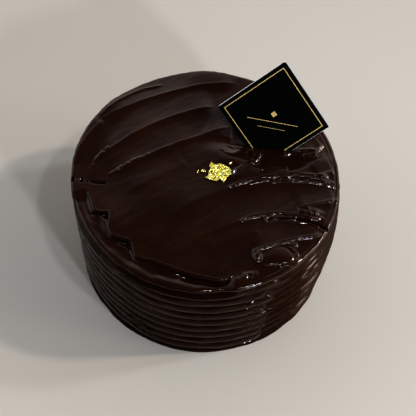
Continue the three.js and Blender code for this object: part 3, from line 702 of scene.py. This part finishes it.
def sweep_value(angle, key):
    """The comb sweeps' values of one key at each angle."""
    onward = (angle - COMB_SWEEPS[0]["start"] + 720) % 360
    result = np.full(np.shape(angle), COMB_SWEEPS[-1][key], float)
    for sweep in COMB_SWEEPS:
        start = (sweep["start"] - COMB_SWEEPS[0]["start"] + 720) % 360
        result = mix(result, sweep[key], smooth(onward - start, 0, sweep["blend"]))
    return result


def ridge_inset(phase, scallop):
    """Share of the groove's depth: phase 0 is the middle of a groove and 0.5 a crest."""
    above = np.clip((phase - BAND_END) / (1 - BAND_END), 0, 1) ** 2
    band = np.where(phase < BAND_START, 1 - smooth(phase, 0, BAND_START), above)
    from_middle = 2 * np.minimum(phase, 1 - phase) / SCALLOP["width"]
    hollow = np.clip(1 - from_middle ** SCALLOP["curve"], 0, 1) ** SCALLOP["flatness"]
    return mix(band, SCALLOP["depth"] * hollow, scallop)


def patch_share(patch, angle, height):
    return hump_round(patch, angle) * hump(height - patch["height"], patch["half_height"])


def side_point(share, angle):
    """A row of the side, from the foot at share 0 to the last groove at share 1."""
    groove_radius, groove_height = last_groove(angle)
    height = share * groove_height

    def here(name):
        return grain(name, angle, height)

    swept = angle + line_noise(height, **SEAM_WANDER)
    keys = ("rough", "scallop", "lift", "depth")
    rough, scallop, lift, deep = (sweep_value(swept, key) for key in keys)
    lift = lift * span(height, *LIFT_SPAN)
    wave = here("ridge_wave") + rough * here("rough_ridge_wave")
    phase = ((height - lift - wave + RIDGE_PITCH / 2) / RIDGE_PITCH) % 1
    smear = SMEARED_PATCH["smear"] * patch_share(SMEARED_PATCH, angle, height)
    bridges = rough * smooth(here("bridges"), BRIDGES["start"], BRIDGES["full"])
    uneven = GROOVE_MEAN + here("groove") + rough * here("rough_groove")
    depth = GROOVE_DEPTH * deep * uneven * (1 - smear) * (1 - BRIDGES["fill"] * bridges)
    inset = depth * smooth(height, 0, GROOVE_FULL_HEIGHT) * ridge_inset(phase, scallop)
    torn = np.maximum(here("torn") - TORN["above"], 0) * (TORN["rough"] * rough + smear)
    drag = (1 - SCALLOP_CALM * scallop) * here("drag") + rough * here("rough_drag")
    lumps = sum(patch["size"] * patch_share(patch, angle, height) for patch in LUMPY_PATCHES)
    foot = here("foot") * (1 - smooth(height, 0, FOOT_FADE))
    radius = CAKE_RADIUS + side_wander(angle) + side_bulge(angle, height)
    radius = radius + side_roughness(angle, height) * (height > 0) - inset - torn
    radius = radius + drag + lumps * here("lumps") + foot
    radius = mix(radius, groove_radius, smooth(share, SIDE_JOIN, 1))
    return np.stack((*polar(radius, angle), height), -1)


# ---- Meshes

def add_object(name, data):
    added = bpy.data.objects.new(name, data)
    bpy.context.scene.collection.objects.link(added)
    return added


def make_mesh(name, points, faces, material, replaced, smooth_faces=True):
    """A piece from points in millimetres. It rides on the one body and replaces its solid."""
    mesh = bpy.data.meshes.new(name)
    mesh.from_pydata((np.asarray(points) * MM).tolist(), [], [list(map(int, face)) for face in faces])
    mesh.validate()
    mesh.polygons.foreach_set("use_smooth", [smooth_faces] * len(mesh.polygons))
    mesh.materials.append(material)
    piece = add_object(name, mesh)
    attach(piece, "root")
    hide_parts(replaced)
    return piece


def band_faces(above, below, steps):
    """Quads between two rings of as many points, the upper ring first."""
    here = np.arange(steps)
    after = (here + 1) % steps
    return np.stack((above + here, below + here, below + after, above + after), -1).tolist()


def disc_faces(rings):
    """Triangles of a disc whose ring k has 6k points, and the first index of each ring."""
    first = [0] + [1 + 3 * ring * (ring - 1) for ring in range(1, rings + 1)]
    faces = []
    for ring in range(1, rings + 1):
        outer_count, inner_count = 6 * ring, max(6 * (ring - 1), 1)
        for sector in range(6):
            for i in range(ring):
                outer = sector * ring + i
                inner = sector * (ring - 1) + i
                a = first[ring] + outer
                b = first[ring] + (outer + 1) % outer_count
                c = first[ring - 1] + inner % inner_count
                faces.append((a, b, c))
                if i < ring - 1:
                    faces.append((c, b, first[ring - 1] + (inner + 1) % inner_count))
    return faces, first


def build_top(material):
    """The top coat: the swept top, its lip and ledge, and the rim down to the last groove."""
    points = [top_point(0, np.zeros(1))]
    for ring in range(1, TOP_RINGS + 1):
        points.append(top_point(ring, np.arange(6 * ring) * 60.0 / ring))
    faces, first = disc_faces(TOP_RINGS)
    angles = np.arange(RIM_STEPS) * 360.0 / RIM_STEPS
    edge = points[-1]
    above = first[TOP_RINGS]
    count = above + RIM_STEPS
    for row in range(1, RIM_ROWS + 1):
        points.append(rim_point(row / RIM_ROWS, angles, edge))
        faces += band_faces(above, count, RIM_STEPS)
        above = count
        count += RIM_STEPS
    points.append(np.array([[0, 0, points[-1][:, 2].min()]]))
    faces += [(count, above + (i + 1) % RIM_STEPS, above + i) for i in range(RIM_STEPS)]
    return make_mesh("cake_top_coat", np.concatenate(points), faces, material, "cake")


def build_side(material):
    """The combed side, from the flat base up to the last groove."""
    angles = np.arange(SIDE_STEPS) * 360.0 / SIDE_STEPS
    rows = [side_point(1 - row / SIDE_ROWS, angles) for row in range(SIDE_ROWS + 1)]
    faces = []
    for row in range(SIDE_ROWS):
        faces += band_faces(row * SIDE_STEPS, (row + 1) * SIDE_STEPS, SIDE_STEPS)
    lid = len(rows) * SIDE_STEPS
    base = lid + 1
    foot = SIDE_ROWS * SIDE_STEPS
    faces += [(lid, i, (i + 1) % SIDE_STEPS) for i in range(SIDE_STEPS)]
    faces += [(base, foot + (i + 1) % SIDE_STEPS, foot + i) for i in range(SIDE_STEPS)]
    points = np.concatenate(rows + [np.array([[0, 0, rows[0][:, 2].min()], [0, 0, 0]])])
    return make_mesh("cake_combed_side", points, faces, material, "cake")


# ---- Card

def card_matrix():
    """Places the card: its face up and its corner towards +Y become leaning back and turned."""
    entry = Vector((*CARD_ENTRY, CARD_ENTRY_HEIGHT))
    turn = Matrix.Rotation(math.radians(CARD_TURN), 4, "Z")
    lean = Matrix.Rotation(math.radians(90 - CARD_LEAN), 4, "X")
    middle = Matrix.Translation((0, CARD_MIDDLE, 0))
    roll = middle @ Matrix.Rotation(math.radians(CARD_ROLL), 4, "Z") @ middle.inverted()
    return Matrix.Translation(entry) @ turn @ lean @ roll


def placed(points, matrix):
    return np.array([matrix @ Vector(point) for point in points])


def card_outline(half, radius):
    """Rounded square on one corner round the card's middle, anticlockwise."""
    outline = []
    for corner in range(4):
        middle = (corner + 1) * 90
        centre_x, centre_y = polar((half - radius) * math.sqrt(2), middle)
        for step in range(CARD_CORNER_STEPS + 1):
            x, y = polar(radius, middle + (step / CARD_CORNER_STEPS - 0.5) * 90)
            outline.append((centre_x + x, centre_y + y))
    return outline


def build_card(face_material, core_material, painted_shade_core_material):
    """The card: dark laminated faces over a paper core that shows at the cut edge.

    The core is pale paper at the upper left and lower right edges. At the other two edges the same paper is
    painted dark blue-grey, which is painted shade."""
    half = CARD_SIDE / 2
    depth = CARD_THICKNESS / 2
    levels = ((depth, CARD_EDGE_ROUND), (depth - CARD_EDGE_ROUND, 0), (CARD_EDGE_ROUND - depth, 0),
              (-depth, CARD_EDGE_ROUND))
    points, faces = [], []
    for height, inset in levels:
        outline = card_outline(half - inset, CARD_CORNER_RADIUS - inset)
        points += [(x, y + CARD_MIDDLE, height) for x, y in outline]
    count = len(points) // len(levels)
    faces.append(list(range(count)))
    for level in range(len(levels) - 1):
        faces += band_faces(level * count, (level + 1) * count, count)
    faces.append(list(range(4 * count - 1, 3 * count - 1, -1)))
    card = make_mesh("card_plate", placed(points, card_matrix()), faces, face_material,
                     "topper_card", smooth_faces=False)
    card.data.materials.append(core_material)
    card.data.materials.append(painted_shade_core_material)
    for face in card.data.polygons:
        level, step = divmod(face.index - 1, count)
        is_cut_edge = 0 <= level < 2
        is_pale = step * 4 // count % 2 == 0
        # Pale paper on two cut edges, painted shade on the other two, and the laminated face elsewhere
        face.material_index = (1 if is_pale else 2) if is_cut_edge else 0
    return card


def slab(outline, lower, upper, start):
    """A thin solid between two heights over a convex outline, anticlockwise."""
    count = len(outline)
    points = [(x, y, upper) for x, y in outline] + [(x, y, lower) for x, y in outline]
    faces = [[start + i for i in range(count)], [start + 2 * count - 1 - i for i in range(count)]]
    for i in range(count):
        after = (i + 1) % count
        faces.append([start + i, start + count + i, start + count + after, start + after])
    return points, faces


def build_print(material):
    """Gold print on the card's front: a border line, two plain rules and a lozenge."""
    outer = CARD_SIDE / 2 - PRINT_INSET
    inner = outer - PRINT_LINE
    shapes = []
    for corner in range(4):
        here, after = (corner + 1) * 90, (corner + 2) * 90
        corners = ((outer, here), (outer, after), (inner, after), (inner, here))
        shapes.append([polar(half * math.sqrt(2), turn) for half, turn in corners])
    for rule in (LONG_RULE, SHORT_RULE):
        across = rule["length"] / 2
        low, high = (rule["middle"] + side * rule["width"] / 2 for side in (-1, 1))
        shapes.append([(-across, low), (across, low), (across, high), (-across, high)])
    size, middle = LOZENGE["half"], LOZENGE["middle"]
    shapes.append([(0, middle - size), (size, middle), (0, middle + size), (-size, middle)])
    points, faces = [], []
    front = CARD_THICKNESS / 2
    for shape in shapes:
        outline = [(x, y + CARD_MIDDLE) for x, y in shape]
        more_points, more_faces = slab(outline, front - PRINT_LIFT, front + PRINT_LIFT, len(points))
        points += more_points
        faces += more_faces
    return make_mesh("card_print", placed(points, card_matrix()), faces, material,
                     "topper_card", smooth_faces=False)


# ---- Gold leaf

def leaf_lift(x, y):
    """Height of the leaf above the frosting: slanting crinkles, a fold and small creases."""
    slant = (y - LEAF_SLANT * x) / LEAF_SLANT_LENGTH
    along = (x + LEAF_SLANT * y) / LEAF_SLANT_LENGTH
    wander = plane_noise(along, slant, **LEAF_CRINKLE_WANDER)
    crinkles = np.abs(np.sin(math.pi * slant / LEAF_CRINKLE_PITCH + wander))
    away = x + LEAF_FOLD["slant"] * y - LEAF_FOLD["at"]
    fold = LEAF_FOLD["height"] * hump(away, LEAF_FOLD["half_width"]) * smooth(y, *LEAF_FOLD["rise"])
    return LEAF_GAP + LEAF_CRINKLE * crinkles + plane_noise(x, y, **LEAF_CREASES) + fold


def torn_outline(corners, seed):
    """Corners joined by lines that wander like a torn edge."""
    generator = np.random.default_rng(seed)
    corners = np.array(corners, float)
    points = []
    for start, end in zip(corners, np.roll(corners, -1, axis=0)):
        pieces = max(int(np.linalg.norm(end - start) / TORN_STEP), 1)
        for i in range(pieces):
            shift = generator.uniform(-TORN_JAG, TORN_JAG, 2) * (i > 0)
            points.append(start + (end - start) * i / pieces + shift)
    return np.array(points)


def oval_corners(at, size, turn, corners, reaches=(1,)):
    """Corners round a turned oval, each at its reach times the size."""
    number = np.arange(corners)
    angles = number * 2 * math.pi / corners
    reach = np.take(reaches, number % len(reaches))
    x, y = turned(size[0] * reach * np.cos(angles), size[1] * reach * np.sin(angles), -turn)
    return np.stack((at[0] + x, at[1] + y), -1)


def inside(points, outline):
    """Which points lie inside a closed outline."""
    x, y = points[:, 0], points[:, 1]
    odd = np.zeros(len(points), bool)
    for (ax, ay), (bx, by) in zip(outline, np.roll(outline, -1, axis=0)):
        crosses = (ay > y) != (by > y)
        with np.errstate(divide="ignore", invalid="ignore"):
            odd ^= crosses & (x < (bx - ax) * (y - ay) / (by - ay) + ax)
    return odd


def on_sheet(points, outline, holes):
    """Which points lie on a torn sheet, outside its holes."""
    keep = inside(points, outline)
    for hole in holes:
        keep &= ~inside(points, hole)
    return keep


def leaf_sheet(outline, holes):
    """Points and triangles of a flat torn sheet with holes, filled with an even grid of points."""
    low, high = outline.min(0), outline.max(0)
    grid = np.stack(np.meshgrid(np.arange(low[0], high[0], LEAF_STEP),
                                np.arange(low[1], high[1], LEAF_STEP)), -1).reshape(-1, 2)
    points, edges = [], []
    for loop in [outline, *holes]:
        start = len(points)
        points += list(loop)
        edges += [(start + i, start + (i + 1) % len(loop)) for i in range(len(loop))]
    points += list(grid[on_sheet(grid, outline, holes)])
    points = [Vector(point) for point in points]
    flat, _, triangles, _, _, _ = delaunay_2d_cdt(points, edges, [], 0, MERGE_DISTANCE)
    flat = np.array([tuple(point) for point in flat])
    middles = np.array([flat[list(triangle)].mean(0) for triangle in triangles])
    keep = on_sheet(middles, outline, holes)
    return flat, [triangle for triangle, kept in zip(triangles, keep) if kept]


def build_leaf(name, outline, holes, material):
    """A leaf from its torn outline: two like sheets, joined round every free edge."""
    flat, triangles = leaf_sheet(outline, holes)
    used = sorted({index for triangle in triangles for index in triangle})
    place = {index: new for new, index in enumerate(used)}
    flat = flat[used]
    triangles = [tuple(place[index] for index in triangle) for triangle in triangles]
    area = [np.cross(flat[b] - flat[a], flat[c] - flat[a]) for a, b, c in triangles]
    triangles = [t if size > 0 else t[::-1] for t, size in zip(triangles, area)]
    height = top_height(flat[:, 0], flat[:, 1]) + leaf_lift(flat[:, 0], flat[:, 1])
    count = len(flat)
    upper = np.column_stack((flat, height + LEAF_SHEET))
    lower = np.column_stack((flat, height))
    faces = [list(t) for t in triangles] + [[i + count for i in t[::-1]] for t in triangles]
    edges = {(t[i], t[(i + 1) % 3]) for t in triangles for i in range(3)}
    faces += [[a + count, b + count, b, a] for a, b in sorted(edges) if (b, a) not in edges]
    return make_mesh(name, np.concatenate((upper, lower)), faces, material, name)


# ---- Materials

def set_inputs(tree, node, inputs):
    """Links a node's inputs to other nodes' outputs, or sets them to values."""
    for key, value in inputs.items():
        if isinstance(value, bpy.types.NodeSocket):
            tree.links.new(value, node.inputs[key])
        else:
            node.inputs[key].default_value = value


def add_node(tree, kind, inputs):
    node = tree.nodes.new("ShaderNode" + kind)
    set_inputs(tree, node, inputs)
    return node


def add_noise(tree, scale, detail, roughness=0.5):
    """Noise texture on the object's own coordinates, in cells per metre."""
    place = add_node(tree, "TexCoord", {}).outputs["Object"]
    inputs = {"Vector": place, "Scale": scale, "Detail": detail, "Roughness": roughness}
    return add_node(tree, "TexNoise", inputs).outputs["Fac"]


def add_ramp(tree, source, stops):
    """Colour ramp over a 0 to 1 source; each stop is a place and a colour."""
    ramp = add_node(tree, "ValToRGB", {"Fac": source})
    elements = ramp.color_ramp.elements
    while len(elements) < len(stops):
        elements.new(0.5)
    for element, (place, colour) in zip(elements, stops):
        element.position = place
        element.color = (*colour, 1)
    return ramp.outputs["Color"]


def add_range(tree, source, low, high, start=0.3, end=0.7):
    """The source's start to end spread over low to high."""
    inputs = {"Value": source, "From Min": start, "From Max": end, "To Min": low, "To Max": high}
    return add_node(tree, "MapRange", inputs).outputs["Result"]


def add_bumps(tree, bumps):
    """Bumps one after another: each is a noise and its depth."""
    normal = {}
    for tooth, depth in bumps:
        inputs = {"Height": add_noise(tree, *tooth), "Distance": depth * MM, **normal}
        normal = {"Normal": add_node(tree, "Bump", inputs).outputs["Normal"]}
    return normal


def new_material(name, shades, grain, roughness, bumps=(), **inputs):
    """A material in shades that follow a noise, given by its scale and detail.

    Roughness is one number, or a noise and the lowest and highest of it, and each bump is a noise
    and its depth. The other inputs are the shader's, with _ for a space in their names."""
    material = bpy.data.materials.new(name)
    material.use_nodes = True
    tree = material.node_tree
    if isinstance(roughness, tuple):
        dull, low, high = roughness
        roughness = add_range(tree, add_noise(tree, *dull), low, high)
    colour = add_ramp(tree, add_noise(tree, *grain), shades)
    more = {key.replace("_", " "): value for key, value in inputs.items()}
    set_inputs(tree, tree.nodes["Principled BSDF"],
               {"Base Color": colour, "Roughness": roughness, **add_bumps(tree, bumps), **more})
    return material


def frosting_material(name, roughness, bump, gloss, coat, depth):
    """Glossy chocolate fudge, a little redder and duller in patches. Its colours are divided by depth, so a
    deeper copy is darker, which is painted shade.
    """
    shades = [(place, [part / depth for part in shade]) for place, shade in FUDGE_SHADES]
    return new_material(name, shades, grain=(55, 4, 0.55), roughness=((130, 4, 0.6), *roughness),
                        bumps=(((300, 3), bump), ((1400, 2), bump * FINE_BUMP)), IOR=1.46,
                        Specular_IOR_Level=gloss, Coat_Weight=coat, Coat_Roughness=0.07)


def card_material():
    """Black laminated card with a faint green cast and a fine tooth."""
    return new_material("card_face", CARD_SHADES, grain=(40, 2), roughness=((900, 2), 0.24, 0.32),
                        bumps=(((2600, 2), 0.008),), Specular_IOR_Level=0.3)


def core_material(name, shades):
    """Paper core with fibres, in the paper's own pale shades or in dark shades that are painted shade."""
    return new_material(name, shades, grain=(3000, 3), roughness=0.7, bumps=(((3000, 3), 0.02),))


def ink_material():
    """Matt gold ink."""
    return new_material("gold_ink", INK_SHADES, grain=(2500, 2), roughness=((2500, 2), 0.45, 0.6),
                        Metallic=0.35)


def leaf_material():
    """Bright crinkled gold leaf whose colour varies at random over it."""
    return new_material("leaf_gold", LEAF_SHADES, grain=(700, 3), roughness=((1500, 2), 0.16, 0.36),
                        bumps=(((1900, 3), 0.12),), Metallic=1.0)


def floor_material():
    return new_material("pale_floor", FLOOR_SHADES, grain=(6, 2), roughness=0.75)


# ---- Floor, light and camera

def build_floor():
    mesh = bpy.data.meshes.new("floor")
    half = FLOOR_HALF * MM
    corners = [(-half, -half, 0), (half, -half, 0), (half, half, 0), (-half, half, 0)]
    mesh.from_pydata(corners, [], [(0, 1, 2, 3)])
    mesh.materials.append(floor_material())
    add_object("floor", mesh)


def add_light(name, azimuth, elevation, distance, size, watts, colour):
    """Round area light that faces the cake from a direction."""
    light = bpy.data.lights.new(name, "AREA")
    light.shape = "DISK"
    light.size = size * MM
    light.energy = watts
    light.color = colour
    turn, rise = math.radians(azimuth), math.radians(elevation)
    towards = Vector((math.cos(turn) * math.cos(rise), math.sin(turn) * math.cos(rise), math.sin(rise)))
    lamp = add_object(name, light)
    lamp.location = (towards * distance + Vector((0, 0, CAKE_HEIGHT / 2))) * MM
    lamp.rotation_mode = "QUATERNION"
    lamp.rotation_quaternion = towards.to_track_quat("Z", "Y")


def build_world():
    """Soft surrounding light: a pale band, bright behind the cake and dim in front of it."""
    world = bpy.data.worlds.new("studio")
    world.use_nodes = True
    tree = world.node_tree
    direction = add_node(tree, "TexCoord", {}).outputs["Generated"]
    rise = add_node(tree, "SeparateXYZ", {"Vector": direction}).outputs["Z"]
    facing = add_node(tree, "VectorMath", {0: direction, 1: WORLD_BRIGHT_WAY})
    facing.operation = "DOT_PRODUCT"
    strength = add_range(tree, facing.outputs["Value"], WORLD_DIM, 1, *WORLD_TURN)
    band = add_ramp(tree, rise, WORLD_BAND)
    set_inputs(tree, tree.nodes["Background"], {"Color": band, "Strength": strength})
    bpy.context.scene.world = world


def build_camera():
    """The photograph's view: a small pan and roll away from the cake's middle."""
    place, aim = Vector(CAMERA_PLACE), Vector(CAMERA_AIM)
    forward = (aim - place).normalized()
    right = Vector((1, 0, 0))
    up = right.cross(forward)
    forward = (forward + right * CAMERA_PAN[0] + up * CAMERA_PAN[1]).normalized()
    right = (right - forward * forward.dot(right)).normalized()
    up = right.cross(forward)
    turn = Matrix((right, up, -forward)).transposed().to_4x4()
    roll = Matrix.Rotation(math.radians(CAMERA_ROLL), 4, "Z")
    data = bpy.data.cameras.new("photo_view")
    data.sensor_width = CAMERA_SENSOR
    data.lens = FOCAL_PIXELS / IMAGE_PIXELS * CAMERA_SENSOR
    data.clip_start = CAMERA_CLIP_START * MM
    camera = add_object("photo_view", data)
    camera.matrix_world = Matrix.Translation(place * MM) @ turn @ roll
    bpy.context.scene.camera = camera


# ---- Making

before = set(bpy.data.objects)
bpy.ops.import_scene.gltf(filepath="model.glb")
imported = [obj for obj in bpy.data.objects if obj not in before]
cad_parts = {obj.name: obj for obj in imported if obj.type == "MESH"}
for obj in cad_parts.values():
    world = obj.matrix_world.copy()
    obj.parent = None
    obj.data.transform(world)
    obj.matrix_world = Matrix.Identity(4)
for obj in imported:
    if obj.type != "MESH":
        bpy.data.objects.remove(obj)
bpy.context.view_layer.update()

build_camera()
build_floor()
build_world()
for light_values in LIGHTS:
    add_light(*light_values)
bpy.context.scene.view_settings.view_transform = "Standard"
bpy.context.scene.view_settings.look = "Very High Contrast"

build_top(frosting_material("fudge_top", **TOP_FROSTING))
build_side(frosting_material("fudge_side", **SIDE_FROSTING))
build_card(card_material(), core_material("card_core", PALE_CORE_SHADES),
           core_material("card_core_painted_shade", PAINTED_SHADE_CORE_SHADES))
build_print(ink_material())
gold = leaf_material()
leaf_holes = [oval_corners(**hole, corners=HOLE_CORNERS) for hole in LEAF_HOLES]
build_leaf("gold_leaf", torn_outline(LEAF_OUTLINE, LEAF_SEED), leaf_holes, gold)
for number, fleck in enumerate(FLECKS, 1):
    size = (fleck["length"], fleck["width"])
    corners = oval_corners(fleck["at"], size, fleck["turn"], FLECK_CORNERS, FLECK_REACHES)
    build_leaf(f"gold_fleck_{number}", torn_outline(corners, LEAF_SEED + number), [], gold)
